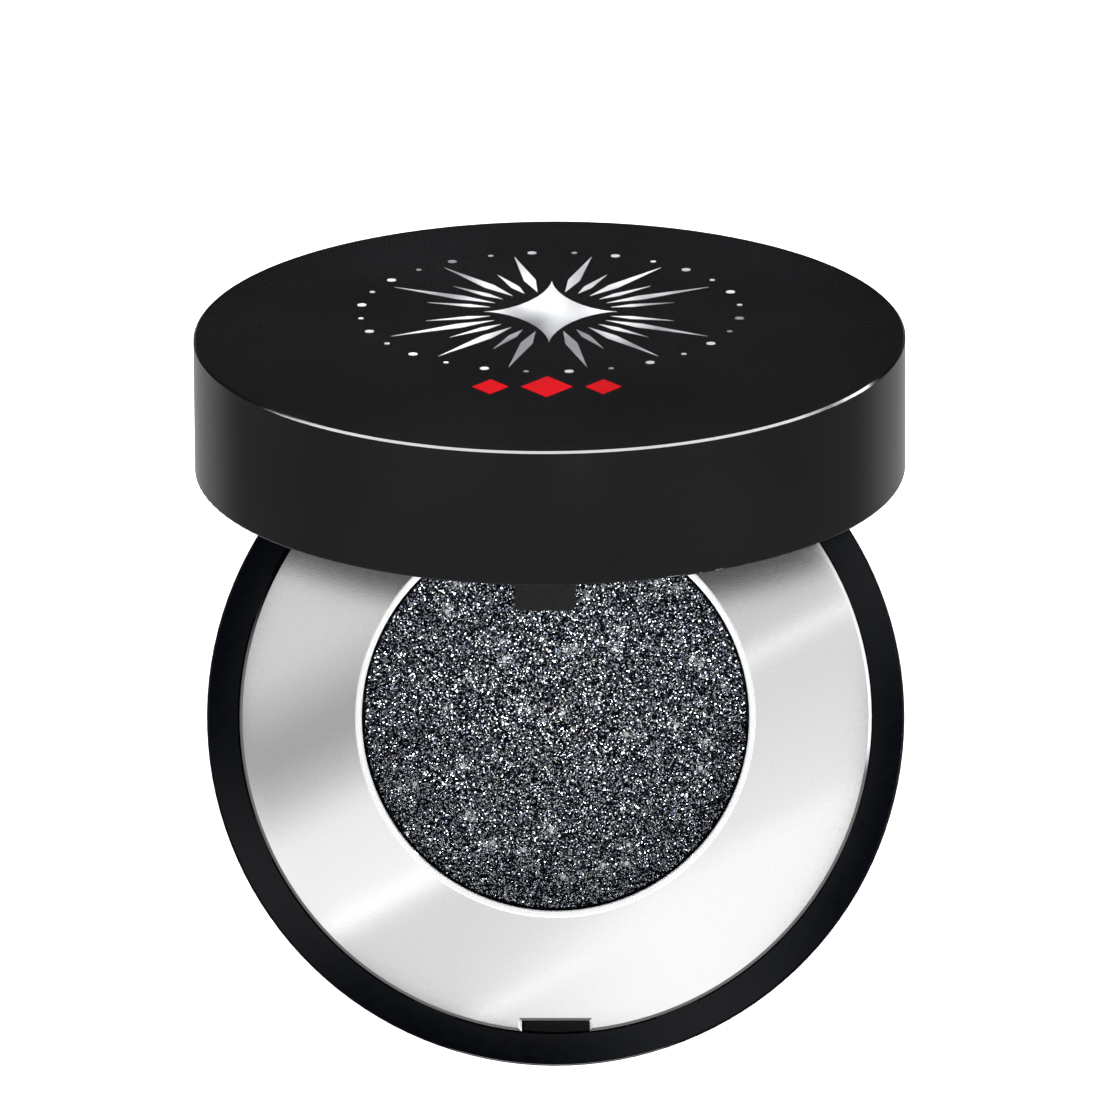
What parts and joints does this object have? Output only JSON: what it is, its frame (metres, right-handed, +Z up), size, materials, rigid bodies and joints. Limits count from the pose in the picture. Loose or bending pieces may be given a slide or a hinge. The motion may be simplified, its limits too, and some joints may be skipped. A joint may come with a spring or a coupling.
{
  "type": "eyeshadow palette",
  "caption": "Round single-colour eyeshadow compact with a deep hinged lid, a mirror, a metallised plate and a pressed powder pan.",
  "frame": {"origin": "centre of the base's foot, on the surface that it stands on", "axes": "+Z up, +Y towards the hinge, -Y towards the latch, +X to the right of a user who faces the open mirror; the lid rests open at 70.4 degrees"},
  "size_m": [0.047, 0.0568, 0.0538],
  "materials": {
    "base_plastic": "satin-gloss blue-black moulding",
    "label_film": "blank silver-grey film label",
    "tape": "double-sided tape",
    "pan_metal": "bright drawn tray",
    "glitter_powder": "pressed powder with silver glitter",
    "metallised_plate": "satin vacuum-metallised plastic",
    "pin_steel": "drawn wire",
    "frame_plastic": "satin black moulding",
    "lid_plastic": "gloss black moulding with a stamped foil ornament",
    "foam_tape": "foam tape",
    "mirror_glass": "silvered float glass with a ground edge"
  },
  "bodies": {
    "base": {"base_shell": "base_plastic", "base_label": "label_film", "pan_adhesive": "tape", "pan": "pan_metal", "powder_cake": "glitter_powder", "inner_plate": "metallised_plate", "hinge_pin": "pin_steel"},
    "lid": {"lid_frame": "frame_plastic", "lid_shell": "lid_plastic", "mirror_adhesive": "foam_tape", "mirror": "mirror_glass"}
  },
  "joints": [
    {"name": "lid_hinge", "type": "hinge", "parent": "base", "child": "lid", "pos_m": [0, 0.0241, 0.0056], "axis": [-1, 0, 0], "range_deg": [-70.4, 49.6]}
  ]
}
